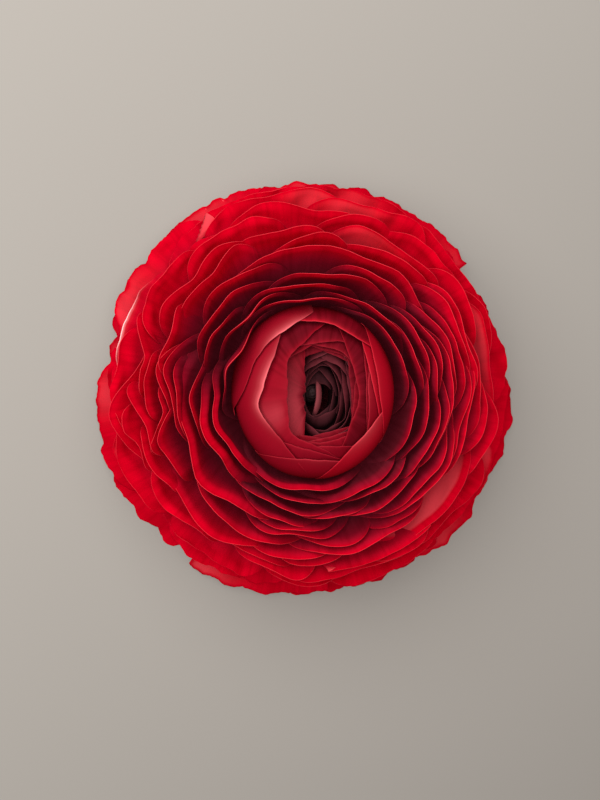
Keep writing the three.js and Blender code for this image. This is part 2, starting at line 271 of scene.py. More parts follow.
def petal_surface(u, v, random, shells, canopy, level, azimuth, half_angle, rim_share,
                  stretch=(1, 1), ruffle=0.0, own=0.2, frill=0.0, lobe=0.0, teeth=0.0, roll=0.0,
                  roll_width=2.5, tilt=0.0, lift=0.0, fold=None, crumple=0.0, dusk=0.0, dusk_at=(0.0, 5.0)):
    """The middle surface of one petal, in mm, with each point's distance from the margin and the depth.

    Ruffle moves it in and out; own, frill and tilt move it to a nearby shell; lobe and teeth shape
    its outline. All are in mm. Painted shade counts the petal as that much deeper, so its colour is
    painted darker, around a place along u.
    Fold turns a corner back over the petal: which side it is on, and how many mm of the rim and of the
    side it takes.
    """
    blade = math.radians(half_angle)
    centre = math.radians(azimuth)
    rim_radius = float(shell_point(shells, np.array(level), np.array(rim_share(np.array(0.0))))[0])
    arc = 2 * blade * rim_radius
    margin = lobed(u, random, arc / LOBE_LENGTH) * lobe + wavy(u, random, arc / TEETH_LENGTH, 4) * teeth
    rim = rim_share(u) + margin / PROFILE_LENGTH
    s = v * rim
    to_rim = (1 - v) * rim * PROFILE_LENGTH
    turned_over, u_placed = 0, u
    if fold:
        side, wide, long = fold
        steepness = math.hypot(1 / wide, 1 / long)
        from_side = (1 - side * u) * arc / 2
        turned_over = np.maximum(1 - from_side / wide - to_rim / long, 0) / steepness
        u_placed = u - side * 2 * turned_over / (wide * steepness) / (arc / 2)
        s = s - 2 * turned_over / (long * steepness) / PROFILE_LENGTH
    growth = smoothstep(v, 0.3, 1.0) ** 1.2
    waves = wavy(u, random, arc / WAVE_LENGTH, 2) * own * (0.8 + 1.2 * creased_share(centre)) + tilt * u
    frills = wavy(u, random, arc / FRILL_LENGTH, 2) * frill * np.exp(-to_rim / FRILL_DEPTH)
    dents = crumpled(u * arc / 2, to_rim, random) * crumple
    moved = ((waves + dents) * growth + frills) / rim_spacing(shells, level)
    radius, z = shell_point(shells, level + moved, s)
    radius = radius + shared_ruffle(centre + u_placed * blade, level) * ruffle * growth
    claw = np.minimum(CLAW_HALF_WIDTH / radius, blade)
    half_width = claw + (blade - claw) * smoothstep(v, 0, CLAW_END)
    to_side = (1 - np.abs(u)) * half_width * radius
    edge = np.minimum(to_rim, to_side)
    rolled = (1 - smoothstep(edge, 0, roll_width)) ** 1.5 * smoothstep(v, 0.5, 0.8) * roll
    # Painted shade: extra depth, so darker colour, strongest around one place along u and fading in from the
    # margin.
    dusk = dusk * np.exp(-(((u - dusk_at[0]) / dusk_at[1]) ** 2)) * smoothstep(edge, -0.5, LIP_WIDTH)
    depth = depth_under(canopy, radius, z) + dusk
    radius = radius + rolled
    lifted = (1 - smoothstep(edge, 0, LIP_WIDTH)) * lift + np.minimum(turned_over, FOLD_RISE)
    z = np.maximum(z - 0.5 * rolled + lifted, REST_HEIGHT)
    return placed(radius, centre + u_placed * half_width, z, stretch), edge, depth


# %% [markdown]
# ## From a surface to a thin solid
# A sheet with no thickness has no rim to catch the light and can't be weighed or printed. Each
# grid becomes a closed shell instead: a front and a back face, a little apart, joined by a narrow
# band all round. The mesh keeps a few numbers at every point for the materials to read, such as
# how far the margin is and how deep the point lies in the flower.

# %% Thin solids
def sheet_mesh(name, points, thickness, **facts):
    """A closed thin mesh object around a grid of points in mm. Facts are grids of numbers to keep."""
    rows, columns = points.shape[:2]
    normal = np.cross(np.gradient(points, axis=1), np.gradient(points, axis=0))
    normal /= np.maximum(np.linalg.norm(normal, axis=-1, keepdims=True), 1e-9)
    shift = normal * thickness[..., None] / 2
    vertices = np.concatenate([(points + shift).reshape(-1, 3), (points - shift).reshape(-1, 3)])
    here = (np.arange(rows - 1)[:, None] * columns + np.arange(columns - 1)).ravel()
    front = np.stack([here, here + 1, here + columns + 1, here + columns], -1)
    back = (front + rows * columns)[:, ::-1]
    ring = np.concatenate([
        np.arange(columns - 1),
        np.arange(rows - 1) * columns + columns - 1,
        (rows - 1) * columns + np.arange(columns - 1, 0, -1),
        np.arange(rows - 1, 0, -1) * columns,
    ])
    after = np.roll(ring, -1)
    band = np.stack([ring, ring + rows * columns, after + rows * columns, after], -1)
    faces = np.concatenate([front, back, band])
    mesh = bpy.data.meshes.new(name)
    mesh.vertices.add(len(vertices))
    mesh.vertices.foreach_set("co", (vertices * MM).ravel())
    mesh.loops.add(faces.size)
    mesh.loops.foreach_set("vertex_index", faces.ravel())
    mesh.polygons.add(len(faces))
    mesh.polygons.foreach_set("loop_start", np.arange(0, faces.size, 4))
    mesh.polygons.foreach_set("use_smooth", np.ones(len(faces), bool))
    mesh.update(calc_edges=True)
    facts["inside"] = -np.ones(points.shape[:2])  # the grid's normal points out of the cup
    for fact, values in facts.items():
        values = np.broadcast_to(values, points.shape[:2])
        other = -values if fact == "inside" else values
        layer = mesh.attributes.new(fact, "FLOAT", "POINT")
        layer.data.foreach_set("value", np.concatenate([values.ravel(), other.ravel()]))
    piece = bpy.data.objects.new(name, mesh)
    scene.collection.objects.link(piece)
    return piece


def petal_grid(rows, columns):
    """Rows gather towards the rim and columns towards the sides, where a petal has its detail."""
    u = np.linspace(-1, 1, columns)
    v = 1 - (1 - np.linspace(0, 1, rows)) ** 1.5
    return np.meshgrid(np.sign(u) * np.abs(u) ** 0.9, v)


# %% [markdown]
# ## Petal tissue
# A petal is one layer of cells full of coloured sap over a pale spongy middle, with fine veins
# that fan out from the claw. It is satin rather than glossy and lets a little light through. Its
# colour is painted darker down in the folds, as painted shade. Its margin is a thin paler line,
# partly paler tissue and partly painted light where the thin edge catches it, and its outer face is
# paler than its inner one, because it has less sap. Some petals carry a painted sheen, a dull
# pinkish patch of painted reflection. Each petal also glows faintly in its own colour, painted
# light that stands in for red light bounced from petal to petal and keeps the deepest folds from
# going quite black. The material reads all of that from the numbers kept at the points, and draws
# the veins as noise stretched along the petal.

# %% Node helper
def add_node(tree, kind, links=(), **settings):
    """A node with its settings, inputs by name or number, and links from other nodes' sockets."""
    node = tree.nodes.new("ShaderNode" + kind)
    for key, value in settings.items():
        setattr(node, key, value)
    for socket, source in dict(links).items():
        if isinstance(source, bpy.types.NodeSocket):
            tree.links.new(source, node.inputs[socket])
        else:
            node.inputs[socket].default_value = source
    return node


# %% Petal tissue
VEIN_SPACING = 0.8  # mm; real veins are finer, but would not show
DEEPEST = 14.0  # mm under the canopy, where the colour stops changing


def remapped(tree, value, low, high, to_low=0.0, to_high=1.0):
    return add_node(tree, "MapRange", {
        "Value": value, "From Min": low, "From Max": high, "To Min": to_low, "To Max": to_high}).outputs[0]


def mixed(tree, share, first, second):
    """A colour that goes from the first to the second as the share goes from 0 to 1."""
    return add_node(tree, "MixRGB", {0: share, 1: first, 2: second}).outputs[0]


def multiplied(tree, first, second):
    return add_node(tree, "MixRGB", {0: 1.0, 1: first, 2: second}, blend_type="MULTIPLY").outputs[0]


def petal_tissue(name, depths, margin, back, bloom="#c0444e", margin_width=0.12, margin_share=0.5,
                 roughness=0.6, gloss=0.12, translucence=0.2, vein_share=0.5, painted_bounce_light=0.05):
    """The material of a petal. Depths pairs millimetres under the canopy with the colour there."""
    material = bpy.data.materials.new(name)
    material.use_nodes = True
    tree = material.node_tree
    tree.nodes.clear()
    fact = {key: add_node(tree, "Attribute", attribute_name=key).outputs["Fac"]
            for key in ("edge", "along", "across", "depth", "bloom", "inside")}
    place = add_node(tree, "CombineXYZ", {"X": fact["across"], "Y": fact["along"]}).outputs[0]
    stretched = add_node(tree, "Mapping", {"Vector": place, "Scale": (1 / VEIN_SPACING, 1.5, 1)}).outputs[0]
    veins = add_node(tree, "TexNoise", {"Vector": stretched, "Scale": 1.0, "Detail": 3.0}).outputs["Fac"]
    broad = add_node(tree, "Mapping", {"Vector": place, "Scale": (0.14, 2.2, 1)}).outputs[0]
    clouds = add_node(tree, "TexNoise", {"Vector": broad, "Scale": 1.0, "Detail": 2.0}).outputs["Fac"]
    # The ramp is painted shade: the colour darkens with depth under the canopy.
    ramp = add_node(tree, "ValToRGB", {"Fac": remapped(tree, fact["depth"], 0, DEEPEST)})
    for _ in depths[2:]:
        ramp.color_ramp.elements.new(0.5)
    for stop, (millimetres, colour) in zip(ramp.color_ramp.elements, depths):
        stop.position = millimetres / DEEPEST
        stop.color = linear(colour)
    colour = ramp.outputs[0]
    darker = multiplied(tree, colour, linear("#c8b0b0"))
    colour = mixed(tree, remapped(tree, veins, 0.4, 0.68, 0.0, vein_share), colour, darker)
    colour = mixed(tree, remapped(tree, clouds, 0.35, 0.75, 0.0, 0.6), colour, darker)
    shallow = remapped(tree, fact["depth"], 5.0, 0.5)
    turned = remapped(tree, fact["inside"], 0.2, -0.2)
    paler = add_node(tree, "Math", {0: shallow, 1: turned}, operation="MULTIPLY").outputs[0]
    colour = mixed(tree, paler, colour, linear(back))
    colour = mixed(tree, fact["bloom"], colour, linear(bloom))
    # The pale margin line is partly paler tissue and partly a painted highlight where the thin edge catches
    # the light.
    margin_line_and_edge_light = remapped(tree, fact["edge"], margin_width, margin_width * 0.3, 0.0, margin_share)
    colour = mixed(tree, margin_line_and_edge_light, colour, linear(margin))
    bump = add_node(tree, "Bump", {"Height": veins, "Strength": 0.3, "Distance": 0.12 * MM}).outputs[0]
    # The emission is painted light: each petal glows faintly in its own colour, standing in for red light
    # bounced between petals.
    skin = add_node(tree, "BsdfPrincipled", {
        "Base Color": colour, "Roughness": roughness, "IOR": 1.4, "Normal": bump,
        "Specular IOR Level": gloss, "Emission Color": colour, "Emission Strength": painted_bounce_light})
    through = add_node(tree, "BsdfTranslucent", {"Color": colour})
    both = add_node(tree, "MixShader", {0: translucence, 1: skin.outputs[0], 2: through.outputs[0]})
    add_node(tree, "OutputMaterial", {"Surface": both.outputs[0]})
    return material


scarlet_petal = petal_tissue(
    "scarlet petal tissue",
    [(0, "#cc0020"), (2.0, "#cc0022"), (5.0, "#b80a28"), (9.0, "#90122a"), (14.0, "#6c1c2a")],
    margin="#e04450", back="#dc444e", bloom="#da424e", margin_width=0.1, margin_share=0.22, gloss=0.0,
    translucence=0.3, painted_bounce_light=0.15)

# A petal tissue whose pale colour serves as a painted highlight along a rim, where a thin edge catches the
# light.
painted_rim_highlight_petal = petal_tissue(
    "petal tissue with painted rim highlight", [(0, "#cc0020"), (5.0, "#b80a28"), (14.0, "#6c1c2a")],
    margin="#e04450", back="#dc444e", bloom="#ffd0d0", margin_width=0.1, margin_share=0.4, gloss=0.0,
    painted_bounce_light=0.09)

# %% [markdown]
# ## Open petals
# The order of the rows is the CAD model's. Each row holds the petal's level, azimuth and half
# angle. A second table holds the petals that grow between them: a real bloom has so many that
# only some of them are solids of their own. Petals are seeded in the order of the two tables, so
# a new row goes at the end of the second one, where it leaves the others as they are.
#
# A third table gives some petals a character of their own, because no bloom is even. A petal may
# be longer or shorter by some millimetres, slant from one side to the other, end square, rise to
# a tip, or have a corner folded back over it, which shows the paler outer face. A few rims roll
# outward far enough to catch the light. Some petals get a pale patch of painted sheen or a painted
# highlight along the rim: the table says how strong each is, where along `u` it lies and how wide
# it is. Some are also painted darker, as painted shade.

# %% Open petals
OPEN_RINGS = {
    "guard_petal": [
        (0.0, 12, 25.5), (0.0, 64, 25.5), (0.0, 116, 25.5), (0.0, 168, 25.5), (0.0, 219, 25),
        (0.0, 270, 25), (0.0, 321, 25), (0.6, 38, 24), (0.6, 142, 24), (0.6, 245, 24), (0.6, 347, 24)],
    "spreading_petal": [
        (1.5, 100, 24), (1.5, 200, 24), (1.5, 296, 24), (2.5, 12, 26), (2.5, 95, 26), (2.5, 185, 28),
        (2.5, 285, 26), (3.0, 318, 28), (3.5, 60, 26), (3.5, 135, 28), (3.5, 232, 28)],
    "cupped_petal": [
        (3.95, 20, 30), (4.0, 290, 34), (4.45, 240, 36), (4.45, 350, 36), (4.9, 80, 66),
        (4.95, 180, 33), (5.4, 2, 42), (5.45, 215, 64), (5.85, 137, 36), (5.85, 303, 42), (6.2, 80, 42)],
    "collar_petal": [
        (6.4, 256, 45), (6.75, 350, 48), (6.8, 97, 40), (6.9, 205, 45), (7.3, 55, 45), (7.3, 292, 42)],
}
BETWEEN_PETALS = [
    (0.3, 90, 22), (0.3, 193, 22), (0.3, 296, 24), (0.3, 57, 20), (0.3, 257, 20), (0.3, 142, 22),
    (0.3, 345, 22), (0.95, 75, 22), (1.0, 15, 24), (1.1, 325, 20), (1.2, 158, 22), (1.3, 240, 18),
    (1.5, 40, 22), (1.9, 70, 22), (1.95, 320, 22),
    (2.15, 118, 18), (2.2, 20, 18), (2.2, 268, 16), (2.55, 48, 20), (2.6, 145, 20), (2.6, 222, 22),
    (2.75, 345, 20), (2.8, 75, 16), (2.85, 258, 16), (2.9, 118, 22), (3.05, 168, 18), (3.1, 30, 20),
    (3.2, 205, 18), (3.4, 352, 20), (3.5, 270, 18), (3.75, 100, 22), (3.75, 178, 18),
    (4.1, 132, 26), (4.15, 60, 24), (4.3, 200, 22), (4.4, 90, 20), (4.45, 160, 20), (4.5, 278, 22),
    (4.7, 15, 32), (4.75, 325, 38), (4.95, 262, 28), (5.15, 125, 28), (5.6, 60, 26), (5.65, 345, 36),
    (6.15, 10, 30), (6.15, 185, 30), (6.45, 150, 26), (7.05, 20, 34), (7.05, 262, 36), (7.2, 130, 40),
    (7.55, 345, 44), (7.6, 205, 52), (7.65, 95, 46), (7.9, 262, 50), (7.95, 30, 50), (8.1, 155, 48),
    (3.65, 5, 30), (4.2, 350, 36), (4.25, 25, 30), (5.1, 325, 38), (5.15, 18, 34), (5.85, 20, 36),
    (6.05, 338, 42), (6.5, 25, 38), (3.3, 250, 18), (3.8, 262, 20), (4.3, 305, 20), (5.3, 262, 26),
    (5.7, 255, 26), (6.1, 280, 28), (6.65, 305, 34), (2.6, 300, 16), (0.85, 118, 24), (0.9, 185, 24),
    (0.85, 218, 22), (0.9, 283, 24), (0.75, 305, 22), (0.85, 48, 20),
    (1.25, 106, 22), (2.95, 292, 20), (1.15, 190, 20), (2.0, 176, 22), (2.85, 196, 16), (3.45, 190, 18),
    (4.05, 190, 18), (4.65, 175, 20), (5.2, 185, 26),
]


def make_petal(name, slot, seed, material=scarlet_petal, thickness=0.22, rows=24, columns=49, bloom=0.0,
               bloom_at=(0.0, 5.0), painted_light=0.0, painted_light_width=0.7, painted_light_at=(0.1, 0.6), faint=0.0,
               bloom_from=0.2, **shape):
    """One petal as a thin solid that rides on the flower. The seed gives it its own waves.

    Faint hides that much of the pale line along the margin, which is partly painted edge light.
    The painted sheen begins that far in. Both are in mm.
    """
    random = np.random.default_rng(seed)
    u, v = petal_grid(rows, columns)
    points, edge, depth = petal_surface(u, v, random, **shape)
    thick = thickness * (0.4 + 0.6 * smoothstep(edge, 0, 1.5))
    steps = np.linalg.norm(np.diff(points, axis=1), axis=-1).mean(0)
    across = np.cumsum(np.concatenate([[0], steps])) + seed * 7.3
    # Painted sheen as pale patches, and painted highlights along some rims, mixed into the colour.
    painted_sheen_and_highlight, lit = [np.exp(-(((u - middle) / width) ** 2)) for middle, width in (bloom_at, painted_light_at)]
    painted_sheen_and_highlight = painted_sheen_and_highlight * bloom * smoothstep(edge, bloom_from, bloom_from + 1) * smoothstep(edge, 12.0, 5.0)
    painted_sheen_and_highlight = painted_sheen_and_highlight + lit * painted_light * np.exp(-edge / painted_light_width) * smoothstep(v, 0.5, 0.8)
    piece = sheet_mesh(
        name, points, thick, edge=edge + random.uniform(0, 0.06) + faint, along=v, across=across[None],
        depth=depth, bloom=painted_sheen_and_highlight)
    piece.data.materials.append(material)
    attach(piece, "root")
    return piece


LIT_SIDE = 100  # azimuths where the middle petals get their painted light and painted shade
SHADED_SIDE = 315
SHAPE_DRAWS = 500  # added to a petal's seed for the draws that give its shape
TIP_HALF_WIDTH = 0.3  # of a raised tip, along u
FINE_COLUMNS_BELOW = 3.2  # the level above which petals are small enough for fewer columns


def open_shape(random, level, azimuth, half_angle, **character):
    """A petal's shape from its level: outer ones are square and lobed, inner ones round and smooth."""
    outer = float(smoothstep(level, 7.0, 1.0))
    rim = float(smoothstep(level, 1.8, 0.4))
    middle = float(smoothstep(level, 1.2, 2.0) * smoothstep(level, 5.0, 4.2))
    creased = middle * float(creased_share(math.radians(azimuth)))
    drop = (0.5 - 0.3 * outer) * random.uniform(0.85, 1.15) * (1 - 0.5 * creased)
    power = 2.2 + 1.8 * outer + 3 * creased
    reach = 1 + random.uniform(-0.025, 0.025) * (outer + rim) + 0.035 * float(smoothstep(level, 0.6, 0.2))
    reach = reach + character.pop("longer", 0) / PROFILE_LENGTH
    half_angle = half_angle * (1 - 0.25 * creased)
    tilt = random.uniform(-1, 1) * (0.4 + 0.6 * middle + 1.6 * creased)
    # Painted shade: deeper levels and the shaded side are painted darker, and the lit side of the middle
    # petals is painted brighter.
    lit = max(math.cos(math.radians(azimuth - LIT_SIDE)), 0)
    shaded = max(math.cos(math.radians(azimuth - SHADED_SIDE)), 0) * float(
        smoothstep(level, 1.5, 3.0) * smoothstep(level, 7.5, 6.0))
    shape = dict(
        shells=OPEN_SHELLS, canopy=open_canopy, level=level, azimuth=azimuth, half_angle=half_angle,
        ruffle=0.4 + 1.0 * outer - 0.9 * rim, own=0.2 + 0.6 * outer, frill=0.1 + 0.2 * rim,
        lobe=0.1 + 1.2 * rim, teeth=0.06 + 0.5 * rim, roll=0.5, tilt=tilt,
        dusk=max(level - 2.8, 0) * 1.5 * (1 - 0.9 * lit) + 3.5 * shaded - 2.5 * lit * middle,
        crumple=0.1 * outer + 0.3 * float(smoothstep(level, 4.0, 1.5)),
        faint=0.05 * float(smoothstep(level, 3.0, 1.5)),
        columns=61 if level < FINE_COLUMNS_BELOW else 49)
    shape.update(character)
    drop = shape.pop("corner_drop", drop)
    power = shape.pop("corner_power", power)
    slant = shape.pop("slant", 0) / PROFILE_LENGTH
    tip_at, tip = shape.pop("tip", (0, 0))

    def rim_share(u):
        point = np.maximum(1 - np.abs(u - tip_at) / TIP_HALF_WIDTH, 0) * tip / PROFILE_LENGTH
        return reach + slant * u - drop * np.abs(u) ** power + point
    return shape | dict(rim_share=rim_share)


SQUARE = dict(corner_drop=0.02, corner_power=10, ruffle=0.1)
SHORT = dict(longer=-3.0)
CHARACTER = {
    "guard_petal_01": SHORT,
    "guard_petal_02": dict(longer=-1.0),
    "guard_petal_03": dict(bloom=0.5, bloom_at=(0.3, 0.4)),
    "guard_petal_04": dict(longer=-1.9, bloom=0.5, bloom_at=(0.2, 0.3)),
    "guard_petal_05": dict(longer=-1.0, slant=-2.5),
    "guard_petal_06": dict(longer=-0.8, slant=-0.8),
    "guard_petal_07": dict(longer=0.5, slant=-0.8, bloom=0.5, bloom_at=(-0.35, 0.25)),
    "guard_petal_08": dict(longer=-1.8),
    "guard_petal_09": dict(longer=-1.2, bloom=0.5, bloom_at=(0.7, 0.5)),
    "guard_petal_11": dict(longer=0.6),
    "spreading_petal_01": dict(bloom=0.4, bloom_at=(-0.5, 0.3)),
    "spreading_petal_04": dict(bloom=0.5, bloom_at=(0.2, 0.5)),
    "spreading_petal_08": dict(bloom=1.0, bloom_at=(0.0, 0.8), bloom_from=1.6, ruffle=0.3, own=0.2, dusk=0.0),
    "spreading_petal_09": dict(bloom=0.3, bloom_at=(0.4, 0.4)),
    "cupped_petal_02": dict(slant=-1.6),
    "cupped_petal_08": dict(roll=1.1, roll_width=3.0, dusk=1.0),
    "collar_petal_04": dict(roll=1.5, roll_width=3.0, dusk=1.0),
    "collar_petal_06": dict(roll=1.2, roll_width=3.0),
    "between_petal_01": dict(longer=-0.8, bloom=0.5, bloom_at=(-0.1, 0.3)),
    "between_petal_02": dict(longer=1.6, bloom=0.5, bloom_at=(-0.5, 0.25)),
    "between_petal_03": dict(longer=-2.0),
    "between_petal_04": SQUARE | dict(longer=-1.2, bloom=0.3, bloom_at=(-1.0, 0.4)),
    "between_petal_05": SQUARE | dict(longer=-0.2, slant=-1.2, bloom=0.9, bloom_at=(-1.0, 0.5)),
    "between_petal_06": dict(longer=-2.5, bloom=0.5, bloom_at=(0.9, 0.5)),
    "between_petal_07": dict(longer=0.8),
    "between_petal_08": dict(bloom=0.25, bloom_at=(0.0, 0.3)),
    "between_petal_09": dict(longer=-1.6),
    "between_petal_10": dict(bloom=0.5, bloom_at=(0.75, 0.25)),
    "between_petal_11": dict(
        material=painted_rim_highlight_petal, ruffle=0.1, own=0.1, lobe=0.1, longer=-4.4, slant=0.8,
        painted_light=1.6, painted_light_width=0.18, painted_light_at=(0.15, 0.35)),
    "between_petal_14": dict(bloom=0.4, bloom_at=(0.3, 0.4)),
    "between_petal_16": SHORT,
    "between_petal_20": dict(tip=(0.1, 2.5)),
    "between_petal_26": dict(tip=(0.3, 1.8)),
    "between_petal_35": dict(tip=(-0.2, 1.8)),
    "between_petal_37": dict(tip=(-0.7, 2.5)),
    "between_petal_46": dict(dusk=1.5),
    "between_petal_52": dict(roll=1.2, roll_width=2.5, dusk=1.0),
    "between_petal_54": dict(roll=1.0, roll_width=2.5, dusk=3.0),
    "between_petal_67": dict(longer=-2.2),
    "between_petal_73": SHORT,
    "between_petal_74": SHORT,
    "between_petal_75": SHORT,
    "between_petal_76": SHORT,
    "between_petal_77": SHORT,
    "between_petal_78": SHORT,
    "between_petal_79": SQUARE | dict(
        fold=(1, 5.6, 7.4), bloom=0.6, bloom_at=(1.0, 0.25), longer=0.6, tilt=0.0, own=0.1, columns=97),
    "between_petal_80": SQUARE | dict(fold=(-1, 2.0, 5.5), tilt=0.0, own=0.1, columns=97),
    "between_petal_81": dict(longer=-1.0, bloom=0.3, bloom_at=(0.5, 0.3)),
    "between_petal_82": dict(tip=(0.2, 2.0)),
    "between_petal_83": dict(tip=(-0.3, 1.8)),
    "between_petal_85": dict(tip=(0.1, 1.5)),
}
seed = 0
for ring, rows in OPEN_RINGS.items():
    for i, row in enumerate(rows):
        seed += 1
        node = f"{ring}_{i + 1:02d}"
        shape = open_shape(np.random.default_rng(seed + SHAPE_DRAWS), *row, **CHARACTER.get(node, {}))
        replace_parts(make_petal("ruffled_" + node, "open_petals", seed, **shape), node)
for i, row in enumerate(BETWEEN_PETALS):
    seed += 1
    name = f"between_petal_{i + 1:02d}"
    shape = open_shape(np.random.default_rng(seed + SHAPE_DRAWS), *row, **CHARACTER.get(name, {}))
    make_petal(name, "open_petals", seed, **shape)
print(seed, "open petals")

# %% [markdown]
# ## The bud
# The middle of the flower hasn't opened. Its petals lie over one another like the leaves of a
# cabbage. Seen from above, the rim of each is made of one to three nearly straight lines, given
# as the azimuth in which the line faces and how far from the axis it passes. The petals of a
# real bud lie closer together than the CAD model's stiff solids can, so the levels here rise
# more slowly, and there is room for more petals. Their outer faces show, so this tissue is dark
# red outside as well, with a satin shine. Where the rims bend, a painted highlight makes them
# pale; a few petals get a brighter copy of the tissue as painted light, and some are painted
# darker as painted shade.

# %% Bud petals
BUD_WAIST = 0.6  # share of a bud profile above which every rim lies
CORNER_SHARPNESS = 14  # of the corner between two lines of a rim

BUD_PETALS = [
    (0.1, 9, 44, [(9, 11.7)]),
    (0.05, 143, 52, [(122, 13.2), (158, 12.9)]),
    (0.3, 70, 46, [(92, 13.8), (57, 13.1)]),
    (0.2, 318, 46, [(318, 11.5)]),
    (0.36, 267, 44, [(267, 12.1)]),
    (0.6, 13, 42, [(13, 10.7)]),
    (0.5, 188, 80, [(160, 9.9), (219, 10.4)]),
    (0.95, 0, 50, [(0, 9.7)]),
    (1.3, 187, 106, [(129, 9.0), (181, 5.4), (242, 8.5)]),
    (1.6, 358, 74, [(17, 8.0), (340, 7.9)]),
    (1.8, 77, 68, [(99, 9.4), (44, 11.0)]),
    (1.0, 253, 50, [(253, 10.2)]),
    (2.7, 34, 92, [(74, 8.4), (4, 6.6)]),
    (2.7, 180, 82, [(180, 1.9)]),
]
# Painted shade darkens some bud petals; two of them also get a patch of painted sheen.
BUD_CHARACTER = {
    3: dict(dusk=8.0),
    9: dict(ragged=0.12, bloom=0.45, bloom_at=(0.17, 0.14), dusk=7.0, dusk_at=(-0.8, 0.35)),
    10: dict(dusk=5.0),
    11: dict(dusk=5.0),
    13: dict(dusk=3.0),
    14: dict(ragged=0.3, frill=0.3, bloom=0.6, bloom_at=(0.25, 0.7)),
}
INNER_BUD_PETALS = [
    (0.46, 326, 42, [(330, 12.8)]),
    (1.25, 2, 48, [(2, 9.3)]),
    (1.4, 270, 50, [(270, 9.6)]),
    (2.2, 53, 76, [(80, 9.0), (28, 8.6)]),
    (1.9, 268, 64, [(252, 8.9), (286, 9.1)]),
    (2.3, 284, 62, [(284, 8.2)]),
    (2.45, 354, 60, [(354, 7.2)]),
    (2.85, 108, 62, [(108, 7.2)]),
    (2.6, 262, 60, [(262, 8.0)]),
    (2.95, 285, 60, [(285, 7.5)]),
    (1.55, 226, 54, [(228, 8.4)]),
    (2.0, 124, 56, [(122, 8.2)]),
    (2.9, 70, 60, [(66, 8.0)]),
]
BUD_SEED = 117  # each part starts from its own seed, so a change in one leaves the others alone
SHADED_FROM, SHADED_TO = 0, 130  # azimuths of the inner bud petals painted darker, as painted shade
SHADED_BY = 4.0  # mm of extra depth, painted shade


def share_at_radius(level, radius):
    """The share of a bud profile, beyond its widest place, that is this far from the axis."""
    s = np.linspace(BUD_WAIST, 1, 500)
    radii, _ = shell_point(BUD_SHELLS, np.full_like(s, level), s)
    return np.interp(-radius, -radii, s)


def bud_shape(level, azimuth, half_angle, lines, ragged=0.0, **character):
    """A bud petal's shape from the lines of its rim. Ragged is how uneven the rim is, in mm."""
    def rim_share(u):
        direction = np.radians(azimuth + u * half_angle)
        nearness = 0
        for facing, distance in lines:
            facing = math.radians(facing)
            ahead = (BUD_STRETCH[0] * math.cos(facing) * np.cos(direction)
                     + BUD_STRETCH[1] * math.sin(facing) * np.sin(direction))
            nearness = nearness + (np.maximum(ahead, 0.05) / distance) ** CORNER_SHARPNESS
        radius = nearness ** (-1 / CORNER_SHARPNESS)
        along = radius * np.sin(direction - math.radians(azimuth))
        waves = sum(size * np.sin(turn * along + 0.5) for turn, size in ((1.1, 1.0), (2.9, 0.6), (6.5, 0.3)))
        return share_at_radius(level, radius + ragged * waves)
    shape = dict(
        shells=BUD_SHELLS, canopy=bud_canopy, level=level, azimuth=azimuth, half_angle=half_angle,
        rim_share=rim_share, stretch=BUD_STRETCH, own=0.15, frill=0.12, lobe=0.12, teeth=0.08, lift=0.3,
        columns=61)
    return shape | character


outer_bud_petal = petal_tissue(
    "outer bud petal tissue",
    [(0, "#a00a1c"), (1.5, "#980a1c"), (6.0, "#7c0a1c"), (14.0, "#400a14")],
    margin="#c84450", back="#880a1e", bloom="#e06870",
    margin_share=0.2, roughness=0.45, gloss=0.05, vein_share=0.9)
# Painted light: a brighter copy of the bud tissue for the petals that should look more lit.
painted_light_bud_petal = petal_tissue(
    "bud petal tissue with painted light",
    [(0, "#b80a24"), (1.5, "#b00a22"), (6.0, "#8c0a20"), (14.0, "#400a14")],
    margin="#d04a56", back="#ac0a22", bloom="#e06870",
    margin_share=0.2, roughness=0.45, gloss=0.05, vein_share=0.9)
inner_bud_petal = petal_tissue(
    "inner bud petal tissue",
    [(0, "#900a1c"), (3.0, "#880a1c"), (6.0, "#700c1c"), (14.0, "#380c14")],
    margin="#9c3842", back="#840a1e", bloom="#b03a46",
    margin_share=0.2, roughness=0.55, gloss=0.03, vein_share=0.9)
OUTER_BUD_COUNT = 8
PAINTED_LIGHT_BUD_PETALS = (1, 3, 4, 6)  # the ones painted brighter, as painted light on the lit side
BUD_PAINTED_LIGHT = {  # painted highlight on some rims: how strong, over what width in mm, and where along u
    2: dict(painted_light=0.9, painted_light_width=0.6, painted_light_at=(-0.5, 0.35)),
    4: dict(painted_light=0.3, painted_light_width=1.0, painted_light_at=(0.2, 0.5)),
    7: dict(painted_light=1.0, painted_light_width=0.45, painted_light_at=(-0.2, 0.4)),
}

seed = BUD_SEED
for i, row in enumerate(BUD_PETALS):
    seed += 1
    node = f"bud_petal_{i + 1:02d}"
    tissue = outer_bud_petal if i < OUTER_BUD_COUNT else inner_bud_petal
    tissue = painted_light_bud_petal if i + 1 in PAINTED_LIGHT_BUD_PETALS else tissue
    slot = "heart_petals" if i >= 12 else "bud_petals"
    painted_light = BUD_PAINTED_LIGHT.get(i + 1, dict(painted_light=0.06))
    shape = bud_shape(*row, **BUD_CHARACTER.get(i + 1, {}))
    piece = make_petal("silky_" + node, slot, seed, tissue, **painted_light, **shape)
    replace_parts(piece, node)
for i, row in enumerate(INNER_BUD_PETALS):
    seed += 1
    tissue = outer_bud_petal if row[0] < 1 else inner_bud_petal
    make_petal(
        f"inner_bud_petal_{i + 1:02d}", "bud_petals", seed, tissue, painted_light=0.06,
        **bud_shape(*row, dusk=SHADED_BY if SHADED_FROM < row[1] < SHADED_TO else 0.0))
print(len(BUD_PETALS) + len(INNER_BUD_PETALS), "bud petals")
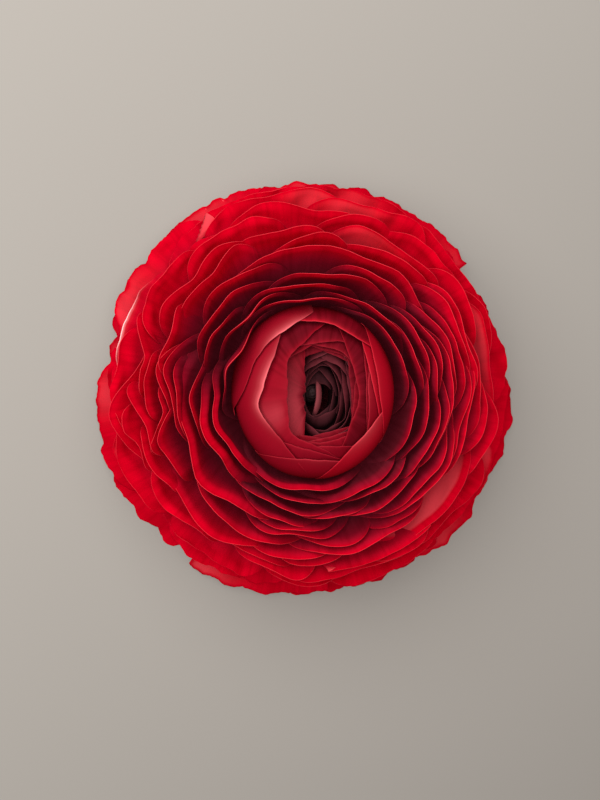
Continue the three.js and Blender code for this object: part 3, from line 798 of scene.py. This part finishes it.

# %% [markdown]
# ## The heart
# Inside the bud stand the smallest petals, purple-brown and crinkled from being packed, round a
# head of carpels that is nearly black. They are upright cups, so they get shells of their own,
# longer one way than the other, as the bud's opening is. Their colour is painted darker down in
# the hollow as painted shade, and their rims get a faint painted highlight. One narrow sliver of a
# petal stands up in the middle of the hollow, with a painted highlight where it catches the light.

# %% Heart petals
HEART_SHELLS = np.array([
    [(3.4, 21.2), (6.0, 25), (6.6, 29.5), (6.4, 33.2), (4.7, 33.4)],
    [(3.1, 21.6), (5.2, 25), (5.6, 28.5), (5.4, 32.0), (3.8, 32.2)],
    [(2.9, 22.0), (4.4, 25), (4.7, 27.5), (4.4, 30.6), (2.9, 30.8)],
    [(2.7, 22.4), (3.7, 25), (3.8, 26.8), (3.5, 29.2), (2.0, 29.4)],
])
HEART_OFFSETS = np.array([(2.4, -0.2), (1.9, -0.3), (1.4, -0.5), (0.9, -0.8)])  # of each shell, mm
HEART_STRETCH = (0.95, 1.5)
HEART_SEED = 144
heart_canopy = np.array([(0.0, 36.5), (6.0, 36.5)])
HEART_PETALS = [
    (-0.3, 40, 55), (-0.25, 290, 50), (0.0, 345, 45), (0.1, 95, 50), (0.25, 10, 40), (0.35, 255, 45),
    (0.5, 60, 40), (0.6, 320, 45), (0.85, 100, 50), (0.95, 5, 40), (1.1, 280, 50), (1.35, 45, 45),
    (1.5, 335, 45), (1.8, 100, 60), (1.95, 15, 50), (2.2, 285, 60), (2.5, 50, 50), (2.8, 350, 50),
    (2.9, 180, 70), (2.6, 130, 60), (2.65, 235, 60), (2.3, 180, 80), (3.0, 90, 70), (3.0, 270, 70),
]
# Its depth ramp is painted shade, darker down in the hollow.
heart_petal = petal_tissue(
    "heart petal tissue",
    [(0, "#84242e"), (3.0, "#602028"), (5.5, "#441a20"), (8.0, "#2e161a"), (12.0, "#221214")],
    margin="#6c383e", back="#482028", bloom="#803a40", margin_width=0.08, margin_share=0.3, roughness=0.8,
    gloss=0.0, translucence=0.1, painted_bounce_light=0.14)
seed = HEART_SEED
for i, (level, azimuth, half_angle) in enumerate(HEART_PETALS):
    seed += 1
    random = np.random.default_rng(seed + SHAPE_DRAWS)
    drop = random.uniform(0.1, 0.35)
    reach = random.uniform(0.88, 1.02)
    piece = make_petal(
        f"heart_petal_{i + 1:02d}", "heart_petals", seed, heart_petal, thickness=0.15, rows=20, columns=45,
        shells=HEART_SHELLS, canopy=heart_canopy, level=level, azimuth=azimuth, half_angle=half_angle,
        rim_share=lambda u: reach - drop * np.abs(u) ** 2.5, stretch=HEART_STRETCH, own=0.35, frill=0.5,
        lobe=0.6, teeth=0.35, tilt=random.uniform(-0.5, 0.5), painted_light=0.2)
    offset = [np.interp(level, range(len(HEART_OFFSETS)), HEART_OFFSETS[:, k]) for k in (0, 1)]
    piece.location = (offset[0] * MM, offset[1] * MM, 0)

seed += 1
sliver = make_petal(
    "heart_sliver", "heart_petals", seed, heart_petal, thickness=0.15, rows=20, columns=33,
    shells=HEART_SHELLS, canopy=heart_canopy, level=3.0, azimuth=352, half_angle=56, bloom=1.0,
    rim_share=lambda u: 0.97 - 0.2 * np.abs(u) ** 3, stretch=HEART_STRETCH, own=0.1)
sliver.location = (-1.5 * MM, -0.5 * MM, 0.5 * MM)
print(len(HEART_PETALS) + 1, "heart petals")

# %% [markdown]
# ## What the petals grow from
# The stub of stem is pale green and juicy. It widens into the cone that carries every petal, and
# above the stem that cone is painted near black, painted shade where it shows deep between the
# smallest ones. On its tip sits the head of carpels, an egg of tiny seed cases, each with a hooked
# point, nearly black. Both keep their CAD shape and only get a skin of their own.

# %% Stem and carpels
STEM_TOP_Z = 6.5  # mm, above which the cone is painted near black as painted shade
CARPEL_SIZE = 0.55  # mm across one seed case


def grown_tissue(name, low, high, turn_z, cell_scale, stretch, bump_size, roughness):
    """Tissue that is one colour below a height in mm and another above, with small cells or ribs."""
    material = bpy.data.materials.new(name)
    material.use_nodes = True
    tree = material.node_tree
    tree.nodes.clear()
    place = add_node(tree, "NewGeometry").outputs["Position"]
    height = add_node(tree, "SeparateXYZ", {0: place}).outputs["Z"]
    cells_at = add_node(tree, "Mapping", {"Vector": place, "Scale": stretch}).outputs[0]
    cells = add_node(tree, "TexVoronoi", {"Vector": cells_at, "Scale": cell_scale / MM}).outputs["Distance"]
    patches = add_node(tree, "TexNoise", {"Vector": place, "Scale": 0.6 / MM, "Detail": 3.0}).outputs["Fac"]
    share = remapped(tree, height, (turn_z - 1) * MM, (turn_z + 1) * MM)
    colour = mixed(tree, share, linear(low), linear(high))
    shade = multiplied(tree, colour, linear("#b8b8a8"))
    colour = mixed(tree, remapped(tree, patches, 0.3, 0.7), colour, shade)
    bump = add_node(tree, "Bump", {"Height": cells, "Strength": 0.6, "Distance": bump_size * MM}).outputs[0]
    skin = add_node(tree, "BsdfPrincipled", {
        "Base Color": colour, "Roughness": roughness, "Specular IOR Level": 0.1, "Normal": bump})
    add_node(tree, "OutputMaterial", {"Surface": skin.outputs[0]})
    return material


def paint(node, material):
    """Puts a material in a carried-over piece's own slot."""
    piece = bpy.data.objects[node]
    for material_slot in piece.material_slots:
        material_slot.link = "OBJECT"
        material_slot.material = material


stem_tissue = grown_tissue(
    "stem and receptacle tissue", "#8ea456", "#1c0c0e", STEM_TOP_Z, 1 / 0.5, (1, 1, 0.08), 0.15, 0.5)
carpel_tissue = grown_tissue(
    "carpel tissue", "#38262a", "#38262a", 0, 1 / CARPEL_SIZE, (1, 1, 1), 0.3, 0.7)
paint("stem_and_receptacle", stem_tissue)
paint("carpel_head", carpel_tissue)

# %% [markdown]
# ## Sepals
# Five green sepals bend down under the guard petals. They are thicker than petals, boat-shaped,
# and downy, with a pale margin. The solids already have that shape, so they keep it, and get one
# green skin with a fine bump of small cells, without the down or the pale margin.

# %% Sepals
sepal_tissue = grown_tissue("sepal tissue", "#7d9448", "#7d9448", 0, 1 / 0.35, (1, 1, 1), 0.08, 0.8)
for i in range(5):
    paint(f"sepal_{i + 1:02d}", sepal_tissue)
print("stem, carpels and sepals have their skins")

# %% [markdown]
# ## Floor and light
# The flower lies on a sheet of warm grey paper. One wide softbox hangs almost overhead, a little
# to one side, so every rim is lit and the grooves between the petals stay dark. The paper also
# glows of its own, painted light from no lamp, which softens the flower's shadow. The glow is
# stronger towards one side and fades evenly across the sheet, a painted falloff of light.

# %% Floor and light
FLOOR_REACH = 2.0  # m
PAPER_PAINTED_LIGHT = 0.46  # painted light of the paper under the flower
PAINTED_LIGHT_PER_METRE = (-1.6, 1.7)
BRIGHTEST_PAINTED_LIGHT = 0.9

floor_mesh = bpy.data.meshes.new("floor")
corners = [(x * FLOOR_REACH, y * FLOOR_REACH, 0) for x, y in ((-1, -1), (1, -1), (1, 1), (-1, 1))]
floor_mesh.from_pydata(corners, [], [(0, 1, 2, 3)])
floor = bpy.data.objects.new("floor", floor_mesh)
scene.collection.objects.link(floor)
# Painted light: the paper's own glow, set at its corners so it fades across the sheet.
painted_light = floor_mesh.attributes.new("painted_light", "FLOAT", "POINT")
for point, (x, y, _) in zip(painted_light.data, corners):
    point.value = PAPER_PAINTED_LIGHT + PAINTED_LIGHT_PER_METRE[0] * x + PAINTED_LIGHT_PER_METRE[1] * y
paper = bpy.data.materials.new("backdrop paper")
paper.use_nodes = True
tree = paper.node_tree
painted_light = add_node(tree, "Attribute", attribute_name="painted_light").outputs["Fac"]
painted_light = remapped(tree, painted_light, 0, BRIGHTEST_PAINTED_LIGHT, 0, BRIGHTEST_PAINTED_LIGHT)
sheet = tree.nodes["Principled BSDF"]
sheet.inputs["Base Color"].default_value = linear("#5f5c59")
sheet.inputs["Roughness"].default_value = 0.9
sheet.inputs["Emission Color"].default_value = linear("#b4aea6")
tree.links.new(painted_light, sheet.inputs["Emission Strength"])
floor_mesh.materials.append(paper)


def area_light(name, position, size, power, colour):
    """A round softbox that faces the flower."""
    data = bpy.data.lights.new(name, "AREA")
    data.shape = "DISK"
    data.size = size
    data.energy = power
    data.color = linear(colour)[:3]
    light = bpy.data.objects.new(name, data)
    light.location = position
    light.rotation_euler = (-Vector(position)).to_track_quat("-Z", "Y").to_euler()
    scene.collection.objects.link(light)


area_light("key softbox", (-0.09, 0.12, 0.5), 0.7, 6.5, "#fffaf4")
world = bpy.data.worlds.new("studio")
world.use_nodes = True
world.node_tree.nodes["Background"].inputs[0].default_value = linear("#e8e4e0")
world.node_tree.nodes["Background"].inputs[1].default_value = 0.45
scene.world = world
scene.view_settings.view_transform = "Standard"
